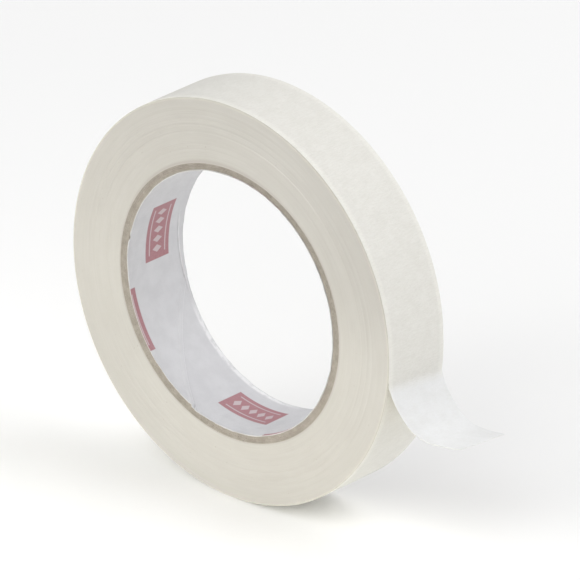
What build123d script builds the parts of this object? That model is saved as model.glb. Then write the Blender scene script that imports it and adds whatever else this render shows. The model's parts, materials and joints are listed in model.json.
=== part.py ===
from build123d import *

import math
import os

# Masking tape roll, standing on its rim. Millimetres, +Z up.
# The origin is the centre of the core's bore. The roll's axis is Y, and the face that
# the loose end of the tape is read from looks along -Y. The loose end leaves on the +X side.

# Driving dimensions
TAPE_WIDTH = 22.5
BORE_RADIUS = 38.1
ROLL_RADIUS = 59.1

# Core: one white paper liner inside four plies of chipboard, each wound on the one below
LINER_THICKNESS = 0.15
PLY_THICKNESS = 0.635
PLY_COUNT = 4
LINER_SEAM_GAP = 0.15
PLY_SEAM_GAP = 0.3
SEAM_HELIX_ANGLE = 31.7
LINER_SEAM_ANGLE = 223.6
PLY_SEAM_STEP = 97.0
SEAM_CUT_LENGTH = 60.0
SEAM_CUT_INSIDE = 6.0
SEAM_CUT_OUTSIDE = 3.0

# Tape: crepe paper backing outside, adhesive coat inside
BACKING_THICKNESS = 0.08
ADHESIVE_THICKNESS = 0.025
TAPE_THICKNESS = BACKING_THICKNESS + ADHESIVE_THICKNESS
PEEL_ANGLE = -7.0
PEEL_SLIT = 0.2
PEEL_SLIT_MARGIN = 0.1
PEEL_CLEARANCE = 0.05

# The loose end is a chain of tangent arcs that curl away from the roll, from the peel line
# out to the cut end: name, radius of the sticky face, and angle that the arc turns through
TAIL_ARCS = [
    ("peel_strip", 4.0, 28.7),
    ("tail_inner", 22.0, 27.2),
    ("tail_middle", 12.5, 46.0),
    ("tail_end", 90.0, 5.8),
]
HINGE_GAP = 0.3

CORE_RADIUS = BORE_RADIUS + LINER_THICKNESS + PLY_COUNT * PLY_THICKNESS
WINDING_RADIUS = ROLL_RADIUS - TAPE_THICKNESS


def direction(angle):
    """Unit vector on a sketch of the roll's face, at an angle in degrees from its X."""
    return Vector(math.cos(math.radians(angle)), math.sin(math.radians(angle)))


def radial(angle):
    """Unit vector out from the roll's axis at an angle in degrees, from +X towards +Z."""
    on_face = direction(angle)
    return Vector(on_face.X, 0, on_face.Y)


def seam_plane(angle, radius):
    """Plane facing outward at this angle and radius, its X along a ply's helical butt seam."""
    around = radial(angle + 90)
    helix = math.radians(SEAM_HELIX_ANGLE)
    along = around * math.cos(helix) - Vector(0, 1, 0) * math.sin(helix)
    return Plane(origin=radial(angle) * radius, x_dir=along, z_dir=radial(angle))


def export_piece(piece, name):
    """Label a finished piece and write it under its node's name."""
    piece.part.label = name
    export_step(piece.part, f"parts/{name}.step")


def core_layer(name, inner_radius, thickness, seam_angle, seam_gap):
    """One ply of the spiral-wound core: a tube whose strip meets itself at a helical seam."""
    outer_radius = inner_radius + thickness
    with BuildPart() as layer:
        with BuildSketch(Plane.XZ):
            Circle(outer_radius)
            Circle(inner_radius, mode=Mode.SUBTRACT)
        extrude(amount=TAPE_WIDTH / 2, both=True)
        with BuildSketch(seam_plane(seam_angle, inner_radius - SEAM_CUT_INSIDE)):
            Rectangle(SEAM_CUT_LENGTH, seam_gap)
        cut_depth = SEAM_CUT_INSIDE + thickness + SEAM_CUT_OUTSIDE
        extrude(amount=cut_depth, mode=Mode.SUBTRACT)
    export_piece(layer, name)


def winding():
    """The wound tape below the outermost turn, as one solid ring on the core."""
    with BuildPart() as ring:
        with BuildSketch(Plane.XZ):
            Circle(WINDING_RADIUS)
            Circle(CORE_RADIUS, mode=Mode.SUBTRACT)
        extrude(amount=TAPE_WIDTH / 2, both=True)
    export_piece(ring, "wound_tape")


def outer_turn_layer(name, inner_radius, outer_radius):
    """One layer of the outermost turn, a ring that is open by a slit at the peel line."""
    with BuildPart() as turn:
        with BuildSketch(Plane.XZ):
            Circle(outer_radius)
            Circle(inner_radius, mode=Mode.SUBTRACT)
        extrude(amount=TAPE_WIDTH / 2, both=True)
        slit_plane = Plane(
            origin=radial(PEEL_ANGLE) * (inner_radius - PEEL_SLIT_MARGIN),
            x_dir=radial(PEEL_ANGLE + 90),
            z_dir=radial(PEEL_ANGLE),
        )
        with BuildSketch(slit_plane):
            Rectangle(PEEL_SLIT, TAPE_WIDTH + 2 * PEEL_SLIT_MARGIN)
        slit_depth = outer_radius - inner_radius + 2 * PEEL_SLIT_MARGIN
        extrude(amount=slit_depth, mode=Mode.SUBTRACT)
    export_piece(turn, name)


def tail_layer(name, center, inner_radius, outer_radius, first_angle, sweep):
    """One layer of one stretch of the loose end: a thin arc across the tape's width."""
    with BuildPart() as layer:
        with BuildSketch(Plane.XZ):
            with BuildLine():
                near_face = CenterArc(center, inner_radius, first_angle, sweep)
                far_face = CenterArc(center, outer_radius, first_angle, sweep)
                Line(near_face @ 0, far_face @ 0)
                Line(near_face @ 1, far_face @ 1)
            make_face()
        extrude(amount=TAPE_WIDTH / 2, both=True)
    export_piece(layer, name)


def tail():
    """The loose end, one pair of layers for each arc, with a gap at each bending line."""
    radii = [radius for _, radius, _ in TAIL_ARCS]
    next_radii = radii[1:] + radii[-1:]
    angle = PEEL_ANGLE + 180
    start = direction(PEEL_ANGLE) * (ROLL_RADIUS + PEEL_CLEARANCE)
    center = start - direction(angle) * radii[0]
    for (name, radius, turn), next_radius in zip(TAIL_ARCS, next_radii):
        center_point = (center.X, center.Y)
        trim = math.degrees(HINGE_GAP / 2 / radius)
        first_angle = angle + trim
        sweep = turn - 2 * trim
        glue_radius = radius - ADHESIVE_THICKNESS
        paper_radius = radius - TAPE_THICKNESS
        tail_layer(f"{name}_backing", center_point, paper_radius, glue_radius, first_angle, sweep)
        tail_layer(f"{name}_adhesive", center_point, glue_radius, radius, first_angle, sweep)
        angle += turn
        center += direction(angle) * (radius - next_radius)


os.makedirs("parts", exist_ok=True)

core_layer("core_liner", BORE_RADIUS, LINER_THICKNESS, LINER_SEAM_ANGLE, LINER_SEAM_GAP)
for ply in range(PLY_COUNT):
    core_layer(
        f"core_ply_{ply + 1}",
        BORE_RADIUS + LINER_THICKNESS + ply * PLY_THICKNESS,
        PLY_THICKNESS,
        LINER_SEAM_ANGLE + (ply + 1) * PLY_SEAM_STEP,
        PLY_SEAM_GAP,
    )

winding()
outer_turn_layer("outer_turn_adhesive", WINDING_RADIUS, WINDING_RADIUS + ADHESIVE_THICKNESS)
outer_turn_layer("outer_turn_backing", WINDING_RADIUS + ADHESIVE_THICKNESS, ROLL_RADIUS)
tail()
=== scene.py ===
import json
import math

import bpy
import numpy as np
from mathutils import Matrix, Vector


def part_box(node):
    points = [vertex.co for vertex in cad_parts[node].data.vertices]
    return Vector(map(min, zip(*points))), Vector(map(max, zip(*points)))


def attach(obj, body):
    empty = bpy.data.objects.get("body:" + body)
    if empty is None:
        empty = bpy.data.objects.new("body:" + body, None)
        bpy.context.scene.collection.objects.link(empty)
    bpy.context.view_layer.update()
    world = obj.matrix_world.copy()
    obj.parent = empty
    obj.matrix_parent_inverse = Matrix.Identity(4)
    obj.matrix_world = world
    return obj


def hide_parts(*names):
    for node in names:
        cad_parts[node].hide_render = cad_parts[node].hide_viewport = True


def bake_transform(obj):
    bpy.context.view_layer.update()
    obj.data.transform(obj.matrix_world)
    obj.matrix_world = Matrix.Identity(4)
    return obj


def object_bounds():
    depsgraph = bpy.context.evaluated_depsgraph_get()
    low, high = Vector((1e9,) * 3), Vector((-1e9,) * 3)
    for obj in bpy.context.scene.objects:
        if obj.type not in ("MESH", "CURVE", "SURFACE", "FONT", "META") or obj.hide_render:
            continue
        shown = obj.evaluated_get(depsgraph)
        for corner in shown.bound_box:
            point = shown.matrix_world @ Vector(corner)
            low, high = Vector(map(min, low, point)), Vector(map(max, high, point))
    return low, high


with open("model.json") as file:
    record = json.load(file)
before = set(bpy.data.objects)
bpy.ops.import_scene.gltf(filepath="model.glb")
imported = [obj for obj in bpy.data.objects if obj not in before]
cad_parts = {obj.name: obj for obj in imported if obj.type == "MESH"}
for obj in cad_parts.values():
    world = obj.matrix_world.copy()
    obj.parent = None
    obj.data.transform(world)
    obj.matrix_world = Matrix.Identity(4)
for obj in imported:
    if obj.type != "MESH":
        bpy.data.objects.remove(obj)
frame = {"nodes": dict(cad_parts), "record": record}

cad_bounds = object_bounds()

# ---------------------------------------------------------------------------------------
# Sizes, in metres, read from the frame. The roll's axis is Y, its front is towards -Y,
# and angles are in degrees from +X towards +Z.
# ---------------------------------------------------------------------------------------
MM = 0.001
FULL_TURN = 2 * math.pi
turn_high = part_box("outer_turn_backing")[1]
PLIES = sorted(name for name in frame["nodes"] if name.startswith("core_ply"))
ROLL_RADIUS = turn_high.z
HALF_WIDTH = turn_high.y
BORE_RADIUS = frame["record"]["mounts"][0]["dims"]["r_mm"] * MM
LINER_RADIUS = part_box("core_liner")[1].z
CORE_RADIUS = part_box(PLIES[-1])[1].z
TAPE_THICKNESS = ROLL_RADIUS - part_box("wound_tape")[1].z

BACKING_SHARE = 0.76          # share of the tape's thickness that is crepe paper
SEAM_ANGLE = 223.6            # where the liner's seam crosses the middle of the bore
SEAM_HELIX = math.radians(31.7)
PLY_SEAM_STEP = 97.0          # from the seam of one ply to the seam of the next
PEEL_ANGLE = -7.0
PEEL_SKEW = 1.27              # how much further round the tape peels at its front edge

# The loose end: radius of each tangent arc and the angle that it turns through
TAIL_ARCS = ((4.0 * MM, 28.7), (22.0 * MM, 27.2), (12.5 * MM, 46.0), (90.0 * MM, 5.8))

# Stretches round the bore: the angles between which each one begins and ends
TORN = ((167.5, 169.5), (171.0, 186.0))
FRAYED = ((248.2, 249.6), (249.6, 259.0))
SUNK = ((95.0, 120.0), (205.0, 222.0))
CREASED = ((163.0, 172.0), (196.0, 206.0))
CURLED = ((204.0, 218.0), (262.0, 286.0))
HIGHLIT_EDGE = ((-156.0, -142.0), (-98.0, -74.0))
NOTCH = (168.2, 1.3)          # middle and reach of the notch beside the tear
FLARE_BEGINS, FLARE_ENDS = (243.0, 262.0), (62.0, 95.0)
PRESSED = (98.0, 42.0)        # middle and reach of the tape that is pressed in over the board

# The crease in the liner that runs on from its seam: place along the axis at 0 degrees,
# and how far it moves on for each radian
CREASE_PER_DEGREE = 0.052 * MM
CREASE_SLOPE = CREASE_PER_DEGREE * 180.0 / math.pi
CREASE_AT_ZERO = 8.9 * MM - CREASE_PER_DEGREE * 169.5

# A painted highlight on one proud turn of the side face: its radius, and its stretch round the
# roll
HIGHLIT_TURN = 49.2 * MM
HIGHLIT_STRETCH = ((42.0, 56.0), (72.0, 88.0))

SEED = 11


# ---------------------------------------------------------------------------------------
# Mesh helpers
# ---------------------------------------------------------------------------------------
def add_mesh(name, points, faces, sharp=35.0):
    """A new smooth-shaded object, with edges over the sharp angle kept hard."""
    mesh = bpy.data.meshes.new(name)
    mesh.from_pydata(points.reshape(-1, 3).tolist(), [], faces)
    mesh.update()
    mesh.shade_smooth()
    mesh.set_sharp_from_angle(angle=math.radians(sharp))
    piece = bpy.data.objects.new(name, mesh)
    bpy.context.scene.collection.objects.link(piece)
    return piece


def tube_faces(columns, around, closed):
    """Quads of a closed section carried along columns, and on to the first one if closed."""
    first = np.arange(columns if closed else columns - 1)
    step = np.arange(around)
    i, j = np.meshgrid(first, step, indexing="ij")
    k, m = (i + 1) % columns, (j + 1) % around
    quads = np.stack([i * around + j, k * around + j, k * around + m, i * around + m], -1)
    return quads.reshape(-1, 4)


def cap_faces(first, around, flip):
    """Quads across a slab's end: the section's two long sides joined point by point."""
    half = around // 2
    j = np.arange(half - 1)
    quads = np.stack([j, j + 1, around - 2 - j, around - 1 - j], -1) + first
    return quads[:, ::-1] if flip else quads


def slab(name, inner, outer, closed=False, sharp=35.0):
    """A thin solid between two grids of points of the same shape, columns by rows."""
    points = np.concatenate([inner, outer[:, ::-1]], axis=1)
    columns, around = points.shape[:2]
    faces = tube_faces(columns, around, closed)
    if not closed:
        last = (columns - 1) * around
        faces = np.concatenate(
            [faces, cap_faces(0, around, False), cap_faces(last, around, True)]
        )
    return add_mesh(name, points, faces.tolist(), sharp)


def polar(radius, y, angle):
    """Points at a radius, a place along the axis, and an angle in radians."""
    return np.stack([radius * np.cos(angle), y + 0 * angle, radius * np.sin(angle)], -1)


def across_places(count, power):
    """Places from -1 to 1 across the tape, closer together towards its two edges."""
    even = np.linspace(-1, 1, count)
    return (np.sign(even) * (1 - (1 - np.abs(even)) ** power))[None, :]


def ripple(angle, y, seed, count, low, high, stretch=1.0):
    """Irregular waves round the roll, between -1 and 1 or so, that close on themselves.
    low and high bound how many fit in one turn, and stretch is how far each one runs
    along the axis before it wanders, in metres."""
    rng = np.random.default_rng(SEED + seed)
    total = np.zeros(np.broadcast(angle, y).shape)
    for _ in range(count):
        waves = int(rng.integers(low, high + 1))
        lean = rng.normal() / stretch
        total = total + np.cos(waves * angle + lean * y + rng.uniform(0, FULL_TURN))
    return total * math.sqrt(2 / count) / 2


def smooth(value, low, high):
    """0 below low, 1 above high, and an S curve between."""
    t = np.clip((value - low) / (high - low), 0, 1)
    return t * t * (3 - 2 * t)


def window(value, rise, fall):
    """0, then 1 from the end of rise to the start of fall, then 0 again."""
    return smooth(value, *rise) * (1 - smooth(value, *fall))


def ridge(value, middle, reach):
    """A bell shape, 1 at its middle."""
    return np.exp(-((value - middle) / reach) ** 2)


# ---------------------------------------------------------------------------------------
# Material helpers
# ---------------------------------------------------------------------------------------
SPECULAR = 0.35
MIX_FIRST, MIX_SECOND, MIX_RESULT = 6, 7, 2     # the colour sockets of a Mix node


def rgb(red, green, blue):
    """A linear colour, as a socket takes it."""
    return (red, green, blue, 1.0)


class Shader:
    """A material under construction: each method adds a node and returns its output."""

    def __init__(self, name, roughness):
        self.material = bpy.data.materials.new(name)
        self.material.use_nodes = True
        self.tree = self.material.node_tree
        self.bsdf = self.tree.nodes["Principled BSDF"]
        self.bsdf.inputs["Roughness"].default_value = roughness
        self.bsdf.inputs["Specular IOR Level"].default_value = SPECULAR
        self.place = self.tree.nodes.new("ShaderNodeTexCoord").outputs["Object"]
        self.x, self.y, self.z = self.split(self.place)
        squares = [self.times(side, side) for side in (self.x, self.z)]
        self.radius = self.math("SQRT", self.math("ADD", *squares))

    def put(self, socket, value):
        """Link an output to a socket, or set its value."""
        if isinstance(value, bpy.types.NodeSocket):
            self.tree.links.new(value, socket)
        else:
            socket.default_value = value

    def math(self, operation, first, second=0.0):
        node = self.tree.nodes.new("ShaderNodeMath")
        node.operation = operation
        self.put(node.inputs[0], first)
        self.put(node.inputs[1], second)
        return node.outputs[0]

    def times(self, first, *others):
        """The product of all the values."""
        for other in others:
            first = self.math("MULTIPLY", first, other)
        return first

    def off(self, value, middle):
        """How far a value is from a middle, either way."""
        return self.math("ABSOLUTE", self.math("SUBTRACT", value, middle))

    def split(self, vector):
        node = self.tree.nodes.new("ShaderNodeSeparateXYZ")
        self.put(node.inputs[0], vector)
        return node.outputs

    def vector(self, *values):
        node = self.tree.nodes.new("ShaderNodeCombineXYZ")
        for socket, value in zip(node.inputs, values):
            self.put(socket, value)
        return node.outputs[0]

    def scaled(self, x, y, z):
        """The place on the piece, with each axis multiplied."""
        return self.vector(self.times(self.x, x), self.times(self.y, y), self.times(self.z, z))

    def along_turns(self, turns, radial, axial):
        """A place that changes slowly round the roll and fast across its layers."""
        around_x, around_z = [
            self.times(self.math("DIVIDE", side, self.radius), turns) for side in (self.x, self.z)
        ]
        layer = self.math("ADD", self.times(self.radius, radial), self.times(self.y, axial))
        return self.vector(around_x, layer, around_z)

    def noise(self, place, scale=1.0, detail=3.0, roughness=0.55):
        node = self.tree.nodes.new("ShaderNodeTexNoise")
        self.put(node.inputs["Vector"], place)
        node.inputs["Scale"].default_value = scale
        node.inputs["Detail"].default_value = detail
        node.inputs["Roughness"].default_value = roughness
        return node.outputs["Fac"]

    def span(self, value, low, high, to_low=0.0, to_high=1.0):
        """value from low to high, mapped to another span and held at its ends."""
        node = self.tree.nodes.new("ShaderNodeMapRange")
        node.interpolation_type = "SMOOTHSTEP"
        self.put(node.inputs["Value"], value)
        node.inputs["From Min"].default_value = low
        node.inputs["From Max"].default_value = high
        node.inputs["To Min"].default_value = to_low
        node.inputs["To Max"].default_value = to_high
        return node.outputs["Result"]

    def under(self, value, limit, soft):
        """1 while a value is under a limit and 0 above it, with an edge that soft each way."""
        return self.span(value, limit - soft, limit + soft, 1.0, 0.0)

    def window(self, angle, rise, fall):
        """0, then 1 from the end of rise to the start of fall, then 0 again, in degrees."""
        begun = self.span(angle, *map(math.radians, rise))
        return self.times(begun, self.span(angle, *map(math.radians, fall), 1.0, 0.0))

    def mix(self, factor, first, second):
        node = self.tree.nodes.new("ShaderNodeMix")
        node.data_type = "RGBA"
        self.put(node.inputs["Factor"], factor)
        self.put(node.inputs[MIX_FIRST], first)
        self.put(node.inputs[MIX_SECOND], second)
        return node.outputs[MIX_RESULT]

    def tint(self, base, color, value, low, high, to_low=0.0, to_high=1.0):
        """A colour laid over a base, as strongly as a value's span says."""
        return self.mix(self.span(value, low, high, to_low, to_high), base, color)

    def attribute(self, name):
        node = self.tree.nodes.new("ShaderNodeAttribute")
        node.attribute_name = name
        return node.outputs["Fac"]

    def bump(self, height, distance, strength, under=None):
        node = self.tree.nodes.new("ShaderNodeBump")
        node.inputs["Distance"].default_value = distance
        node.inputs["Strength"].default_value = strength
        self.put(node.inputs["Height"], height)
        if under is not None:
            self.put(node.inputs["Normal"], under)
        return node.outputs[0]

    def facing_sideways(self):
        """1 on faces that look along the roll's axis, such as a cut edge, and 0 elsewhere."""
        geometry = self.tree.nodes.new("ShaderNodeNewGeometry")
        along_axis = self.split(geometry.outputs["True Normal"])["Y"]
        return self.span(self.math("ABSOLUTE", along_axis), 0.3, 0.6)

    def brushed_round_axis(self, amount, specular):
        """Fine grooves that run round the Y axis, which stretch highlights across them."""
        tangent = self.tree.nodes.new("ShaderNodeTangent")
        tangent.direction_type = "RADIAL"
        tangent.axis = "Y"
        self.put(self.bsdf.inputs["Tangent"], tangent.outputs[0])
        self.bsdf.inputs["Anisotropic"].default_value = amount
        self.bsdf.inputs["Anisotropic Rotation"].default_value = 0.25
        self.bsdf.inputs["Specular IOR Level"].default_value = specular

    def finish(self, color, roughness=None, normal=None):
        self.put(self.bsdf.inputs["Base Color"], color)
        if roughness is not None:
            self.put(self.bsdf.inputs["Roughness"], roughness)
        if normal is not None:
            self.put(self.bsdf.inputs["Normal"], normal)
        return self.material


# ---------------------------------------------------------------------------------------
# Materials
# ---------------------------------------------------------------------------------------
CREPE_WOUND = rgb(0.775, 0.764, 0.722)
CREPE_LOOSE_LIT_THROUGH = rgb(0.800, 0.805, 0.810)
CREPE_RIM_HIGHLIGHT = rgb(0.865, 0.855, 0.805)
CREPE_CLOUD = rgb(0.47, 0.45, 0.38)
CREPE_FLECK = rgb(0.49, 0.47, 0.42)
CREPE_WRINKLE_SHADE = rgb(0.45, 0.42, 0.36)
CREPE_CUT = rgb(0.50, 0.49, 0.455)


def crepe_material():
    """Creped paper: fine wrinkles across the tape with painted shade in their valleys, cloudy
    fibres, a painted highlight along its edges, and painted whiter where it is loose, for the
    light that shines through the thin loose tape."""
    shader = Shader("crepe_paper", roughness=0.62)
    clouds = shader.noise(shader.place, scale=260.0, detail=4.0)
    flecks = shader.noise(shader.place, scale=1900.0, detail=3.0, roughness=0.7)
    wrinkles = shader.noise(shader.scaled(3000.0, 520.0, 3000.0), detail=3.0, roughness=0.6)
    fibres = shader.noise(shader.scaled(5200.0, 5200.0, 5200.0), detail=2.0)
    loose = shader.attribute("loose")
    calm = shader.span(loose, 0.0, 1.0, 1.0, 0.42)
    aside = shader.math("ABSOLUTE", shader.y)
    # painted highlight: a paler band along both edges of the outer turn, where its soft corner
    # catches the light
    rim_highlight_band = (HALF_WIDTH - 2.4 * MM, HALF_WIDTH - 1.1 * MM)
    color = shader.tint(CREPE_WOUND, CREPE_RIM_HIGHLIGHT, aside, *rim_highlight_band, 0.0, 0.55)
    # painted light: the loose tape is made whiter for the light that shines through it
    color = shader.mix(loose, color, CREPE_LOOSE_LIT_THROUGH)
    color = shader.tint(color, CREPE_CLOUD, clouds, 0.35, 0.7, 0.0, 0.08)
    flecked = shader.times(shader.span(flecks, 0.45, 0.75, 0.0, 0.12), calm)
    color = shader.mix(flecked, color, CREPE_FLECK)
    # painted shade in the valleys of the crepe wrinkles
    wrinkle_shade = shader.times(shader.span(wrinkles, 0.35, 0.65, 0.10, 0.0), calm)
    color = shader.mix(wrinkle_shade, color, CREPE_WRINKLE_SHADE)
    cut_edge = shader.times(shader.facing_sideways(), loose, 0.7)
    color = shader.mix(cut_edge, color, CREPE_CUT)
    rough = shader.span(flecks, 0.3, 0.7, 0.55, 0.72)
    normal = shader.bump(wrinkles, 0.14 * MM, 0.8)
    normal = shader.bump(fibres, 0.04 * MM, 0.6, normal)
    return shader.finish(color, rough, normal)


EDGES_DARK, EDGES_LIGHT = rgb(0.371, 0.355, 0.334), rgb(0.384, 0.369, 0.348)
EDGES_RING = rgb(0.340, 0.316, 0.281)
EDGES_LINE = rgb(0.300, 0.277, 0.240)
EDGES_GRAIN = rgb(0.309, 0.290, 0.262)
EDGES_SPECK = rgb(0.25, 0.225, 0.19)
EDGES_TURN_HIGHLIGHT = rgb(0.62, 0.61, 0.59)
EDGES_SHADE_AND_SOIL = rgb(0.27, 0.245, 0.215)
EDGES_RIM_HIGHLIGHT = rgb(0.54, 0.52, 0.455)


def tape_edges_material():
    """The edges of the wound turns: fine rings of paper and adhesive, a painted highlight on one
    proud turn, painted shade with a little soil beside the core, and a painted highlight along
    the rim."""
    shader = Shader("wound_tape_edges", roughness=0.5)
    fine = shader.noise(shader.along_turns(3.0, 9500.0, 300.0), detail=2.0, roughness=0.6)
    broad = shader.noise(shader.along_turns(1.6, 1500.0, 100.0), detail=4.0, roughness=0.65)
    patches = shader.noise(shader.along_turns(5.0, 260.0, 100.0), detail=2.0)
    grain = shader.noise(shader.place, scale=2600.0, detail=2.0)
    specks = shader.noise(shader.place, scale=1100.0, detail=1.0)
    color = shader.tint(EDGES_DARK, EDGES_LIGHT, patches, 0.3, 0.7)
    color = shader.tint(color, EDGES_RING, broad, 0.34, 0.68, 0.0, 0.09)
    color = shader.tint(color, EDGES_LINE, fine, 0.4, 0.7, 0.0, 0.16)
    color = shader.tint(color, EDGES_GRAIN, grain, 0.4, 0.75, 0.0, 0.06)
    color = shader.tint(color, EDGES_SPECK, specks, 0.77, 0.80, 0.0, 0.45)
    # painted highlight on a proud turn, where it catches the light from above
    from_highlit_turn = shader.off(shader.radius, HIGHLIT_TURN)
    turn_highlight = shader.span(from_highlit_turn, 0.05 * MM, 0.28 * MM, 0.22, 0.0)
    around = shader.math("ARCTAN2", shader.z, shader.x)
    color = shader.mix(shader.times(turn_highlight, shader.window(around, *HIGHLIT_STRETCH)), color, EDGES_TURN_HIGHLIGHT)
    # painted shade beside the core, where the tape face dishes in, with a little soil
    shade_and_soil = (CORE_RADIUS, CORE_RADIUS + 0.8 * MM)
    color = shader.tint(color, EDGES_SHADE_AND_SOIL, shader.radius, *shade_and_soil, 0.5, 0.0)
    # painted highlight along the rim, where the soft corner of the turns catches the light
    rim = (ROLL_RADIUS - 0.9 * MM, ROLL_RADIUS - 0.15 * MM)
    color = shader.tint(color, EDGES_RIM_HIGHLIGHT, shader.radius, *rim, 0.0, 0.6)
    rough = shader.span(broad, 0.3, 0.7, 0.58, 0.68)
    shader.brushed_round_axis(amount=0.9, specular=0.9)
    normal = shader.bump(fine, 0.03 * MM, 0.5)
    normal = shader.bump(grain, 0.02 * MM, 0.3, normal)
    return shader.finish(color, rough, normal)


BOARD_DARK, BOARD_LIGHT = rgb(0.235, 0.210, 0.182), rgb(0.291, 0.265, 0.233)
BOARD_FIBRE = rgb(0.19, 0.168, 0.142)
BOARD_FLECK = rgb(0.40, 0.38, 0.345)


def chipboard_material():
    """Grey-tan recycled board: fibres that run round the core, with dark and light flecks."""
    shader = Shader("chipboard", roughness=0.9)
    fibres = shader.noise(shader.along_turns(60.0, 5200.0, 1800.0), detail=4.0, roughness=0.65)
    clumps = shader.noise(shader.place, scale=420.0, detail=3.0)
    flecks = shader.noise(shader.place, scale=2400.0, detail=2.0, roughness=0.6)
    color = shader.tint(BOARD_DARK, BOARD_LIGHT, clumps, 0.3, 0.7)
    color = shader.tint(color, BOARD_FIBRE, fibres, 0.35, 0.7, 0.0, 0.5)
    color = shader.tint(color, BOARD_FLECK, flecks, 0.62, 0.75, 0.0, 0.5)
    normal = shader.bump(fibres, 0.12 * MM, 0.8)
    normal = shader.bump(flecks, 0.05 * MM, 0.5, normal)
    return shader.finish(color, normal=normal)


COAT_DARK, COAT_LIGHT = rgb(0.50, 0.465, 0.375), rgb(0.56, 0.53, 0.44)


def adhesive_material():
    """The natural rubber coat on the tape's inner face: cream, a little glossy, mottled."""
    shader = Shader("adhesive_coat", roughness=0.38)
    mottle = shader.noise(shader.place, scale=900.0, detail=4.0, roughness=0.6)
    streaks = shader.noise(shader.scaled(2600.0, 600.0, 2600.0), detail=3.0)
    color = shader.tint(COAT_DARK, COAT_LIGHT, mottle, 0.3, 0.7)
    rough = shader.span(streaks, 0.3, 0.7, 0.30, 0.5)
    normal = shader.bump(streaks, 0.05 * MM, 0.6)
    return shader.finish(color, rough, normal)


PRINT_PERIOD = math.radians(131.5)    # from one printed panel to the next round the bore
PRINT_DRIFT_SPAN = math.radians(263.0)
# each row: angle of its first panel, its middle there, and where it has drifted to after
# the span
PRINT_ROWS = ((266.9, 0.8 * MM, 0.6 * MM), (302.4, -14.7 * MM, -13.9 * MM))
PRINT_HALF_LENGTH = 9.15 * MM
PRINT_HALF_HEIGHT = 4.65 * MM
PRINT_SOFT = 0.12 * MM        # half the width of a panel's soft outline
MOTIF_HALF_LENGTH = PRINT_HALF_LENGTH - 1.65 * MM
DIAMOND_PITCH = 3.0 * MM
DIAMOND_HALF_LENGTH = 1.125 * MM
DIAMOND_SQUASH = 0.62         # a diamond's half length as a share of its half height
RULE_PLACE = 3.1 * MM         # from the middle of a panel to each rule
RULE_HALF_WIDTH = 0.21 * MM

LINER_DARK, LINER_LIGHT = rgb(0.525, 0.525, 0.545), rgb(0.565, 0.565, 0.585)
LINER_FIBRE = rgb(0.40, 0.40, 0.42)
INK_DARK, INK_LIGHT = rgb(0.335, 0.165, 0.185), rgb(0.375, 0.195, 0.215)
INK_MOTIF = rgb(0.54, 0.49, 0.51)
LINER_EDGE_SHADE = rgb(0.38, 0.365, 0.35)
SEAM_SHADE, SEAM_LIT = rgb(0.30, 0.30, 0.33), rgb(0.66, 0.66, 0.68)
FOLD_SHADE, FOLD_LIT = rgb(0.36, 0.36, 0.385), rgb(0.70, 0.70, 0.72)
LINER_EDGE_HIGHLIGHT = rgb(0.74, 0.74, 0.755)


def print_row(shader, turned, start, middle, drifted):
    """(mask of a row of panels, mask of the motif on them: plain diamonds between two thin
    rules)."""
    half = PRINT_PERIOD / 2
    offset = shader.math("SUBTRACT", turned, math.radians(start) - half)
    within = shader.math("SUBTRACT", shader.math("FLOORED_MODULO", offset, PRINT_PERIOD), half)
    along = shader.times(within, BORE_RADIUS)
    passed = shader.math("SUBTRACT", turned, math.radians(start))
    drift = shader.times(passed, (drifted - middle) / PRINT_DRIFT_SPAN)
    across = shader.off(shader.y, shader.math("ADD", drift, middle))
    length = shader.math("ABSOLUTE", along)
    panel = shader.times(
        shader.under(length, PRINT_HALF_LENGTH, PRINT_SOFT),
        shader.under(across, PRINT_HALF_HEIGHT, PRINT_SOFT),
    )
    shifted = shader.math("ADD", along, DIAMOND_PITCH / 2)
    cell = shader.off(shader.math("FLOORED_MODULO", shifted, DIAMOND_PITCH), DIAMOND_PITCH / 2)
    diamond = shader.math("ADD", cell, shader.times(across, DIAMOND_SQUASH))
    diamonds = shader.under(diamond, DIAMOND_HALF_LENGTH, 0.125 * MM)
    rules = shader.under(shader.off(across, RULE_PLACE), RULE_HALF_WIDTH, 0.09 * MM)
    inside = shader.under(length, MOTIF_HALF_LENGTH, 0.15 * MM)
    return panel, shader.times(shader.math("MAXIMUM", diamonds, rules), inside, panel)


def add_seam(shader, color, past):
    """Painted shade along the liner's helical seam, with a painted highlight on the lifted edge
    before it.
    """
    color = shader.tint(color, SEAM_SHADE, past, 0.0, 0.35 * MM / BORE_RADIUS, 0.8, 0.0)
    before = shader.math("SUBTRACT", FULL_TURN, past)
    lit = (0.15 * MM / BORE_RADIUS, 0.7 * MM / BORE_RADIUS)
    return shader.tint(color, SEAM_LIT, before, *lit, 0.6, 0.0)


def add_crease(shader, color, angle):
    """A painted highlight along the crease that runs on from the seam, with painted shade beside
    it.
    """
    around = shader.math("FLOORED_MODULO", angle, FULL_TURN)
    crease = shader.math("ADD", shader.times(around, CREASE_SLOPE), CREASE_AT_ZERO)
    from_crease = shader.math("SUBTRACT", shader.y, crease)
    reach = shader.window(around, *CREASED)
    lit = shader.span(shader.math("ABSOLUTE", from_crease), 0.05 * MM, 0.35 * MM, 0.6, 0.0)
    color = shader.mix(shader.times(lit, reach), color, FOLD_LIT)
    shade = shader.span(shader.off(from_crease, -0.45 * MM), 0.02 * MM, 0.30 * MM, 0.4, 0.0)
    return shader.mix(shader.times(shade, reach), color, FOLD_SHADE)


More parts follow.
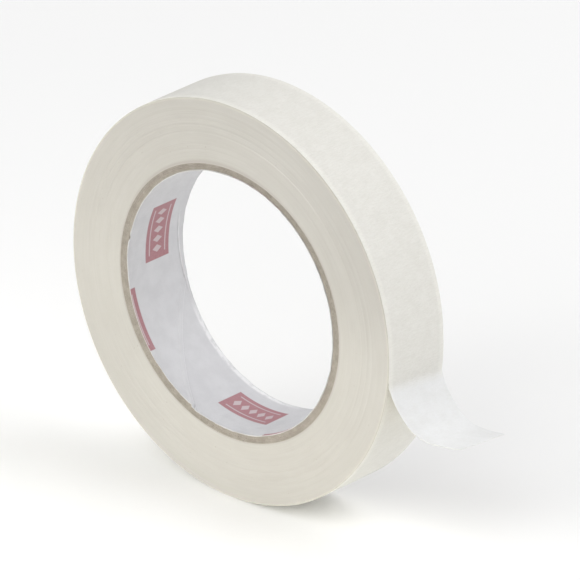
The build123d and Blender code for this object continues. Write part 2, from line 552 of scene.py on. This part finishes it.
def add_edge_highlight(shader, color, angle):
    """A patchy painted highlight along the liner's back edge, where the curled paper catches the
    light.
    """
    edge = shader.span(shader.y, HALF_WIDTH - 2.0 * MM, HALF_WIDTH - 1.2 * MM)
    glint_patches = shader.noise(shader.scaled(420.0, 700.0, 420.0), detail=3.0)
    uneven = shader.span(glint_patches, 0.32, 0.55, 0.25, 1.0)
    # painted highlight along the curled back edge
    edge_highlight = shader.times(edge, uneven, shader.window(angle, *HIGHLIT_EDGE))
    return shader.mix(edge_highlight, color, LINER_EDGE_HIGHLIGHT)


def liner_material():
    """White coated paper, with printed panels whose pattern breaks at the helical seam."""
    shader = Shader("liner_paper", roughness=0.45)
    angle = shader.math("ARCTAN2", shader.z, shader.x)
    slope = -1.0 / (BORE_RADIUS * math.tan(SEAM_HELIX))
    seam = shader.math("ADD", shader.times(shader.y, slope), math.radians(SEAM_ANGLE))
    past = shader.math("FLOORED_MODULO", shader.math("SUBTRACT", angle, seam), FULL_TURN)
    turned = shader.math("ADD", past, seam)
    rows = [print_row(shader, turned, *row) for row in PRINT_ROWS]
    panel, motif = [shader.math("MAXIMUM", *masks) for masks in zip(*rows)]
    clouds = shader.noise(shader.place, scale=240.0, detail=4.0)
    fibres = shader.noise(shader.place, scale=2200.0, detail=3.0, roughness=0.6)
    cockles = shader.noise(shader.scaled(520.0, 230.0, 520.0), detail=3.0, roughness=0.6)
    color = shader.tint(LINER_DARK, LINER_LIGHT, clouds, 0.3, 0.7)
    color = shader.tint(color, LINER_FIBRE, fibres, 0.5, 0.75, 0.0, 0.12)
    ink = shader.tint(INK_DARK, INK_LIGHT, fibres, 0.3, 0.7)
    ink = shader.mix(shader.times(motif, 0.75), ink, INK_MOTIF)
    sideways = shader.facing_sideways()
    printed = shader.times(panel, shader.math("SUBTRACT", 1.0, sideways))
    color = shader.mix(printed, color, ink)
    # painted shade on the liner's cut edge faces, which stand out of the roll towards the light
    cut_edge = shader.times(sideways, shader.span(clouds, 0.3, 0.7, 0.9, 0.4))
    color = shader.mix(cut_edge, color, LINER_EDGE_SHADE)
    color = add_seam(shader, color, past)
    color = add_crease(shader, color, angle)
    color = add_edge_highlight(shader, color, angle)
    rough = shader.span(fibres, 0.3, 0.7, 0.38, 0.5)
    normal = shader.bump(cockles, 0.18 * MM, 0.45)
    normal = shader.bump(fibres, 0.02 * MM, 0.4, normal)
    return shader.finish(color, rough, normal)


def assign(piece, material, slot, *nodes):
    """Give a piece its material, and hide the CAD nodes that it stands for. slot is not used."""
    piece.data.materials.clear()
    piece.data.materials.append(material)
    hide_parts(*nodes)


def store_looseness(piece, values):
    """Store how loose the tape is at each point, for the crepe material."""
    layer = piece.data.attributes.new("loose", "FLOAT", "POINT")
    layer.data.foreach_set("value", np.asarray(values, np.float32).ravel())


# ---------------------------------------------------------------------------------------
# Core
# ---------------------------------------------------------------------------------------
LINER_COLUMNS, LINER_ROWS = 900, 54
LINER_GAP = 0.16 * MM         # between the liner's two ends
LINER_EDGE = 0.9 * MM         # width of the liner's two edges that don't lie flat
PLY_COLUMNS = 720
PLY_EDGE_POINTS, PLY_SIDE_POINTS = 5, 7
PLY_GAP = 0.3 * MM


def seam_shift(y, radius):
    """How far the helical seam has turned at a place along the axis, in radians."""
    return -y / (radius * math.tan(SEAM_HELIX))


def seam_turn(start, gap, columns):
    """Angles once round, in radians, from one side of a strip's seam to the other. start
    is the middle of the seam, in degrees, and gap is its width, in radians."""
    first = math.radians(start) + gap / 2
    return np.linspace(first, first + FULL_TURN - gap, columns)[:, None]


def wall_shift(angle, y, depth):
    """How far the core's wall stands off its round shape, away from the axis. At the right
    and the foot the bore's front edge is flared outward, and at the top the tape is pressed
    in over the board. depth is 0 at the liner and 1 at the tape."""
    degrees = np.degrees(angle) % 360
    to_right = np.maximum(smooth(degrees, *FLARE_BEGINS), 1 - smooth(degrees, *FLARE_ENDS))
    flared = 0.42 * MM * to_right * np.clip(-3 * y / HALF_WIDTH - 2, 0, 1)
    to_front = (1 - y / HALF_WIDTH) / 2
    pressed = 0.72 * MM * ridge(degrees, *PRESSED) * to_front
    return flared * (1 - depth) - pressed * depth


def liner_lip(degrees, ragged):
    """How far the liner's front edge stands out of the roll, with its sunk, torn, frayed
    and notched places."""
    sunk = window(degrees, *SUNK)
    raised = (0.10 * MM + 0.06 * MM * ragged) * (1 - sunk) - 0.08 * MM * sunk
    raised = raised + 0.30 * MM * window(degrees, *TORN) + 0.60 * MM * window(degrees, *FRAYED)
    return raised - 0.45 * MM * ridge(degrees, *NOTCH)


def liner_relief(turn, angle, y, front, back):
    """How far the liner's face stands in from the bore's radius, towards the axis."""
    degrees = np.degrees(angle) % 360
    from_start = (turn - turn[0]) * BORE_RADIUS
    from_end = (turn[-1] - turn) * BORE_RADIUS
    hollow = 0.035 * MM * (1 + ripple(angle, y, seed=1, count=14, low=3, high=16, stretch=0.008))
    lap = 0.17 * MM * (1 - smooth(from_end, 1.7 * MM, 2.8 * MM))
    lift = 0.03 * MM * (1 - smooth(from_start, 0.0, 0.6 * MM))
    wave = 1 + ripple(angle, 0 * y, seed=3, count=16, low=4, high=40)
    edge_wave = 0.05 * MM * (front + back) * wave
    creased_at = CREASE_AT_ZERO + CREASE_SLOPE * np.radians(degrees)
    crease = 0.20 * MM * ridge(y, creased_at, 0.22 * MM) * window(degrees, *CREASED)
    crumple = 1 + 0.5 * ripple(angle, y, seed=4, count=20, low=20, high=110, stretch=0.002)
    bulge = ridge(y, HALF_WIDTH - 0.9 * MM, 0.6 * MM)
    curl = 0.16 * MM * window(degrees, *CURLED) * crumple * bulge
    flare = 0.30 * MM * back ** 3
    return hollow + lap + lift + edge_wave + crease + curl - flare


def make_liner(material):
    """The liner: one strip with a helical butt seam, torn places along its front edge and
    a curl along its back edge."""
    y = across_places(LINER_ROWS, 1.35) * HALF_WIDTH
    turn = seam_turn(SEAM_ANGLE, LINER_GAP / BORE_RADIUS, LINER_COLUMNS)
    angle = turn + seam_shift(y, BORE_RADIUS)
    front = smooth(-y, HALF_WIDTH - LINER_EDGE, HALF_WIDTH)
    back = smooth(y, HALF_WIDTH - LINER_EDGE, HALF_WIDTH)
    ragged = ripple(angle, 0 * y, seed=2, count=24, low=8, high=90)
    lip = liner_lip(np.degrees(angle) % 360, ragged)
    place = y - lip * front + (0.16 * MM + 0.05 * MM * ragged) * back
    radius = BORE_RADIUS - liner_relief(turn, angle, y, front, back) + wall_shift(angle, y, 0.0)
    thickness = 0.98 * (LINER_RADIUS - BORE_RADIUS) * (1 + 0.5 * np.maximum(front, back))
    face = polar(radius, place, angle)
    under = polar(radius + thickness, place, angle)
    piece = slab("core_liner_paper", under, face, sharp=50.0)
    assign(piece, material, "liner_paper", "core_liner")
    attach(piece, "roll")


def ply_section():
    """(share of the ply's wall, share of its half width) of points round its section: out
    along the front edge, back along the outside, in along the back edge and forward again
    along the inside."""
    share = np.linspace(0.0, 1.0, PLY_EDGE_POINTS)
    side = np.linspace(-1, 1, PLY_SIDE_POINTS)[:-1]
    edge, long = np.ones(len(share) - 1), np.ones(len(side))
    shares = np.concatenate([share[:-1], long, share[:0:-1], 0 * long])
    sides = np.concatenate([-edge, side, edge, -side])
    return shares[None, :], sides[None, :]


def make_ply(material, node, index):
    """One chipboard ply: a tube with a helical seam and rough, slightly furred edges."""
    outer_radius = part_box(node)[1].z
    inner_radius = outer_radius - (CORE_RADIUS - LINER_RADIUS) / len(PLIES)
    start = SEAM_ANGLE + (index + 1) * PLY_SEAM_STEP
    turn = seam_turn(start, PLY_GAP / inner_radius, PLY_COLUMNS)
    shares, sides = ply_section()
    y = sides * HALF_WIDTH
    angle = turn + seam_shift(y, inner_radius)
    edge = np.abs(sides) == 1
    crown = 0.06 * MM * (1 - (2 * shares - 1) ** 2)
    fur = ripple(
        angle + 3 * shares, y, seed=20 + index, count=40, low=20, high=300, stretch=0.01
    )
    y = y + np.sign(sides) * edge * (crown + 0.05 * MM * fur - 0.10 * MM)
    radius = inner_radius + shares * (outer_radius - inner_radius)
    radius = radius + (0.5 - shares) * 0.03 * MM * edge
    depth = (radius - LINER_RADIUS) / (CORE_RADIUS - LINER_RADIUS)
    points = polar(radius + wall_shift(angle, y, depth), y, angle)
    columns, around = points.shape[:2]
    rings = np.arange(columns * around).reshape(columns, around)
    ends = [rings[0].tolist(), rings[-1, ::-1].tolist()]
    faces = tube_faces(columns, around, False).tolist() + ends
    piece = add_mesh(node + "_board", points, faces, sharp=40.0)
    assign(piece, material, "chipboard", node)
    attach(piece, "roll")


# ---------------------------------------------------------------------------------------
# Wound tape
# ---------------------------------------------------------------------------------------
WOUND_COLUMNS = 300
SIDE_RINGS = 150              # rings of the side face that are modelled one by one
RINGS_IN_GROUP = 5
# groups of turns that stand proud of their neighbours: radius and height
PROUD_TURNS = (
    (44.3 * MM, 0.020 * MM), (45.9 * MM, 0.030 * MM), (49.15 * MM, 0.060 * MM),
    (51.2 * MM, 0.040 * MM), (52.9 * MM, 0.026 * MM), (55.3 * MM, 0.020 * MM),
)
PROUD_REACH = 0.30 * MM
TURN_COLUMNS, TURN_ROWS = 2900, 16
TURN_GAP = 0.0004             # in radians, between the outermost turn's two ends


def crinkle(angle, y, seed):
    """How far the fine creping of the paper stands off its smooth face."""
    return 0.012 * MM * ripple(angle, y, seed, count=60, low=250, high=700, stretch=0.0016)


def edge_fall(across):
    """How far the tape's face falls away beside its two edges, at places from -1 to 1."""
    return 0.05 * MM * smooth(np.abs(across), 0.93, 1.0)


def peel_angle(y):
    """Where the tape leaves the rim, in radians, at a place across its width."""
    return math.radians(PEEL_ANGLE) - math.radians(PEEL_SKEW) * y / HALF_WIDTH


def spiral_radius(turned):
    """Outer radius of the outermost turn, a number of radians on from the peel line. It
    steps in by one thickness in a full turn."""
    return ROLL_RADIUS - TAPE_THICKNESS * turned / FULL_TURN


def face_height(radius, angle):
    """How far the roll's side face stands from the middle: near square, with turns that
    stand a little proud or shy of their neighbours, and a soft corner at the rim."""
    rng = np.random.default_rng(SEED + 40)
    rings = np.arange(SIDE_RINGS)
    single = rng.normal(0, 0.008 * MM, SIDE_RINGS)
    group = rng.normal(0, 0.014 * MM, SIDE_RINGS // RINGS_IN_GROUP)
    grouped = np.interp(rings, rings[::RINGS_IN_GROUP], group)
    share = (radius - CORE_RADIUS) / (ROLL_RADIUS - CORE_RADIUS)
    layer = np.interp(share, np.linspace(0, 1, SIDE_RINGS), single + grouped)
    for place, height in PROUD_TURNS:
        layer = layer + height * ridge(radius, place, PROUD_REACH)
    sway = 1 + 0.6 * ripple(angle, 9 * share, seed=41, count=6, low=1, high=5)
    corner = 0.36 * MM * smooth(radius, ROLL_RADIUS - 0.7 * MM, ROLL_RADIUS + 0.15 * MM) ** 2
    dish = 0.048 * MM * np.sin(math.pi * np.clip(share, 0, 1))
    return HALF_WIDTH - 0.02 * MM + layer * sway - corner - dish


def tape_half_width(angle):
    """Half the width of the outermost tape, with the slight wander of its slit edge."""
    wander = ripple(angle, 0 * angle, seed=50, count=20, low=40, high=400)
    return face_height(ROLL_RADIUS - 0.1 * MM + 0 * angle, angle) + 0.015 * MM * wander


def make_wound_tape(material):
    """Every turn below the outermost one, with the layer lines on both side faces."""
    angle = np.linspace(0, FULL_TURN, WOUND_COLUMNS, endpoint=False)[:, None]
    share = np.linspace(0, 1, SIDE_RINGS)[None, :]
    share = share + 0.02 * np.sin(FULL_TURN * share)
    turned = np.mod(angle - peel_angle(0.0), FULL_TURN)
    outer_radius = spiral_radius(turned) - TAPE_THICKNESS
    radius = CORE_RADIUS + share * (outer_radius - CORE_RADIUS)
    pressed = wall_shift(angle, -HALF_WIDTH, 1.0) * (1 - share) ** 8
    front = polar(radius + pressed, -face_height(radius, angle), angle)
    back = polar(radius, face_height(radius, angle + 2.0), angle)
    piece = slab("wound_tape_layers", front, back, closed=True, sharp=60.0)
    assign(piece, material, "tape_edges", "wound_tape")
    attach(piece, "roll")


def make_outer_turn(crepe, glue):
    """The outermost turn, once round from the peel line, with its creped face outward."""
    across = across_places(TURN_ROWS, 1.5)
    turn = np.linspace(0.0, FULL_TURN - TURN_GAP, TURN_COLUMNS)[:, None]
    angle = peel_angle(across * HALF_WIDTH) + turn
    y = across * tape_half_width(angle)
    drift = ripple(angle, y, seed=52, count=12, low=4, high=40, stretch=0.006)
    radius = spiral_radius(turn) + crinkle(angle, y, seed=51) + 0.02 * MM * drift
    radius = radius - edge_fall(across)
    between = radius - TAPE_THICKNESS * BACKING_SHARE
    under = radius - TAPE_THICKNESS
    paper = slab("outer_turn_paper", polar(between, y, angle), polar(radius, y, angle))
    coat = slab("outer_turn_coat", polar(under, y, angle), polar(between, y, angle))
    store_looseness(paper, np.zeros(len(paper.data.vertices)))
    assign(paper, crepe, "crepe_paper", "outer_turn_backing")
    assign(coat, glue, "adhesive", "outer_turn_adhesive")
    for piece in (paper, coat):
        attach(piece, "roll")


# ---------------------------------------------------------------------------------------
# Loose end
# ---------------------------------------------------------------------------------------
ARC_ENDS = np.cumsum([radius * math.radians(turn) for radius, turn in TAIL_ARCS])
TAIL_LENGTH = ARC_ENDS[-1]
TAIL_STEP = 0.16 * MM         # length of the mesh's faces along the tape
TAIL_ROWS = 61
LEAD = 7.0 * MM               # stretch that still lies on the roll above the peel line
CLEARANCE = 0.05 * MM         # between the roll and the loose end at the peel line
THINNEST = 0.04               # share of its thickness that it keeps where it meets the roll


def tail_line(distance):
    """(place, outward normal) in the XZ plane of the sticky face, at distances along the
    tape from the peel line. Below zero it lies on the roll."""
    peel = math.radians(PEEL_ANGLE)
    angle = peel - distance / ROLL_RADIUS
    normal = np.stack([np.cos(angle), np.sin(angle)], -1)
    place = ROLL_RADIUS * normal
    turned = peel + math.pi
    joint = ROLL_RADIUS * np.array([math.cos(peel), math.sin(peel)])
    passed = 0.0
    for radius, turn in TAIL_ARCS:
        center = joint - radius * np.array([math.cos(turned), math.sin(turned)])
        along = turned + (distance - passed) / radius
        spoke = np.stack([np.cos(along), np.sin(along)], -1)
        here = (distance >= passed)[..., None]
        place = np.where(here, center + radius * spoke, place)
        normal = np.where(here, -spoke, normal)
        turned += math.radians(turn)
        passed += radius * math.radians(turn)
        joint = center + radius * np.array([math.cos(turned), math.sin(turned)])
    return place, normal


def tail_points(distance, across, height):
    """Points of the loose end at a height above its sticky face. The peel line is skewed,
    so each place across the tape follows the same curl from its own start."""
    shift = peel_angle(across) - math.radians(PEEL_ANGLE)
    passed = distance + ROLL_RADIUS * shift
    place, normal = tail_line(passed)
    share = np.clip(passed / TAIL_LENGTH, 0, 1)
    phase = distance / ROLL_RADIUS
    fallen = edge_fall(across / HALF_WIDTH) * (1 - smooth(share, 0, 0.1))
    buckle = ripple(phase, across, seed=62, count=10, low=20, high=70, stretch=0.006)
    buckle = 0.07 * MM * smooth(share, 0.05, 0.5) * buckle
    raised = height + crinkle(phase, across, seed=61) + buckle - fallen
    x, z = np.moveaxis(place + normal * raised[..., None], -1, 0)
    return np.stack([
        x * np.cos(shift) - z * np.sin(shift),
        across + 0 * x,
        x * np.sin(shift) + z * np.cos(shift),
    ], -1)


def make_tail(crepe, glue):
    """The loose end in three lengths, each holding one joint between the arcs of its curl."""
    joints = ARC_ENDS[:3]
    cuts = (-LEAD, (joints[0] + joints[1]) / 2, (joints[1] + joints[2]) / 2, TAIL_LENGTH)
    bodies = ("peel_strip", "tail_inner", "tail_middle", "tail_end")
    for index, joint in enumerate(joints):
        begin, end = cuts[index], cuts[index + 1]
        columns = int((end - begin) / TAIL_STEP) + 1
        distance = np.linspace(begin, end, columns)[:, None]
        half_width = tape_half_width(math.radians(PEEL_ANGLE) - distance / ROLL_RADIUS)
        across = np.linspace(-1, 1, TAIL_ROWS)[None, :] * half_width
        local = ROLL_RADIUS * (peel_angle(across) - math.radians(PEEL_ANGLE))
        feather = smooth(distance, -LEAD, -1.0 * MM)
        clear = CLEARANCE * feather
        coat_height = TAPE_THICKNESS * (1 - BACKING_SHARE) * feather
        tape_height = TAPE_THICKNESS * np.maximum(feather, THINNEST)
        low = tail_points(distance, across, clear)
        mid = tail_points(distance, across, clear + coat_height)
        top = tail_points(distance, across, clear + tape_height)
        label = bodies[index + 1]
        paper = slab(label + "_paper", mid, top)
        coat = slab(label + "_coat", low, mid)
        loose = smooth(distance + local, -0.6 * MM, 4.0 * MM)
        store_looseness(paper, np.concatenate([loose, loose[:, ::-1]], axis=1))
        replaced = ("peel_strip", label) if index == 0 else (label,)
        assign(paper, crepe, "crepe_paper", *[name + "_backing" for name in replaced])
        assign(coat, glue, "adhesive", *[name + "_adhesive" for name in replaced])
        reach = 0.7 * min(joint - max(begin, 0.0), end - joint)
        ends, _ = tail_line(np.array([joint - reach, joint + reach]))
        for piece in (paper, coat):
            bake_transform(piece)


# ---------------------------------------------------------------------------------------
# Stage. Azimuth 0 looks along +Y from the front, and turns towards +X.
# ---------------------------------------------------------------------------------------
VIEW_AZIMUTH = math.radians(42.525)
VIEW_ELEVATION = math.radians(24.853)
VIEW_DISTANCE = 2.9855
VIEW_LENS = 674.5             # millimetres
VIEW_SENSOR = 36.0
VIEW_ASIDE = 9.19 * MM        # how far right of the bore's centre the camera aims

FLOOR_REACH = 6.0
FLOOR_COLOR = rgb(0.93, 0.93, 0.93)
SURROUND_STRENGTH = 0.30
WHITE = (1.0, 1.0, 1.0)
WARM = (1.0, 0.99, 0.87)      # light sent back up by a warm table top
CENTER = (0.0, 0.0, 0.0)
# each light: azimuth, elevation, distance, side, power, the point it is aimed at, tint
LIGHTS = {
    "front_high": (5.0, 50.0, 2.4, 2.4, 19.9, CENTER, WHITE),
    "front_left": (-35.0, 25.0, 2.4, 1.6, 15.6, CENTER, WHITE),
    "right_back": (130.0, 40.0, 2.4, 2.0, 28.0, CENTER, WHITE),
    "back_high": (190.0, 50.0, 2.4, 2.4, 15.5, CENTER, WHITE),
    "card_top": (35.0, 30.0, 0.35, 0.20, 0.130, (0.030, 0.0, 0.050), WHITE),
    "card_left": (-20.0, 6.0, 0.22, 0.12, 0.290, (-0.020, 0.0, -0.050), WARM),
    "card_right": (80.0, 6.0, 0.20, 0.12, 0.012, (0.040, 0.0, -0.045), WARM),
    "card_foot": (20.0, 2.0, 0.10, 0.06, 0.065, (0.010, 0.0, -0.062), WARM),
}


def camera():
    """A long lens from the front right, looking down."""
    data = bpy.data.cameras.new("camera")
    data.lens = VIEW_LENS
    data.sensor_width = VIEW_SENSOR
    data.clip_end = 50.0
    view = bpy.data.objects.new("camera", data)
    bpy.context.scene.collection.objects.link(view)
    right = Vector((math.cos(VIEW_AZIMUTH), math.sin(VIEW_AZIMUTH), 0.0))
    ahead = Vector((
        -math.sin(VIEW_AZIMUTH) * math.cos(VIEW_ELEVATION),
        math.cos(VIEW_AZIMUTH) * math.cos(VIEW_ELEVATION),
        -math.sin(VIEW_ELEVATION),
    ))
    view.location = right * VIEW_ASIDE - ahead * VIEW_DISTANCE
    view.rotation_euler = ahead.to_track_quat("-Z", "Y").to_euler()
    bpy.context.scene.camera = view


def softbox(name, azimuth, elevation, distance, side, power, aim, tint):
    """A square area light aimed at the roll, placed by the same angles as the camera."""
    data = bpy.data.lights.new(name, "AREA")
    data.size = side
    data.energy = power
    data.color = tint
    lamp = bpy.data.objects.new(name, data)
    lamp.visible_camera = False
    bpy.context.scene.collection.objects.link(lamp)
    a, e = math.radians(azimuth), math.radians(elevation)
    away = Vector((math.sin(a) * math.cos(e), -math.cos(a) * math.cos(e), math.sin(e)))
    lamp.location = Vector(aim) + away * distance
    lamp.rotation_euler = away.to_track_quat("Z", "Y").to_euler()


def floor():
    """A wide pale floor at the roll's lowest point."""
    height = cad_bounds[0][2]
    sides = ((-1, -1), (1, -1), (1, 1), (-1, 1))
    corners = np.array([[x * FLOOR_REACH, y * FLOOR_REACH, height] for x, y in sides])
    piece = add_mesh("floor", corners, [[0, 1, 2, 3]])
    shader = Shader("floor", roughness=0.9)
    piece.data.materials.append(shader.finish(FLOOR_COLOR))


def studio():
    """A white surround, four softboxes, and four small cards that lift the top and the foot
    of the roll."""
    world = bpy.data.worlds.new("studio")
    bpy.context.scene.world = world
    world.use_nodes = True
    back = world.node_tree.nodes["Background"]
    back.inputs["Color"].default_value = (*WHITE, 1.0)
    back.inputs["Strength"].default_value = SURROUND_STRENGTH
    for name, settings in LIGHTS.items():
        softbox(name, *settings)
    bpy.context.scene.view_settings.view_transform = "Standard"


def build():
    crepe = crepe_material()
    glue = adhesive_material()
    board = chipboard_material()
    make_liner(liner_material())
    for index, node in enumerate(PLIES):
        make_ply(board, node, index)
    make_wound_tape(tape_edges_material())
    make_outer_turn(crepe, glue)
    make_tail(crepe, glue)
    floor()
    studio()
    camera()


build()
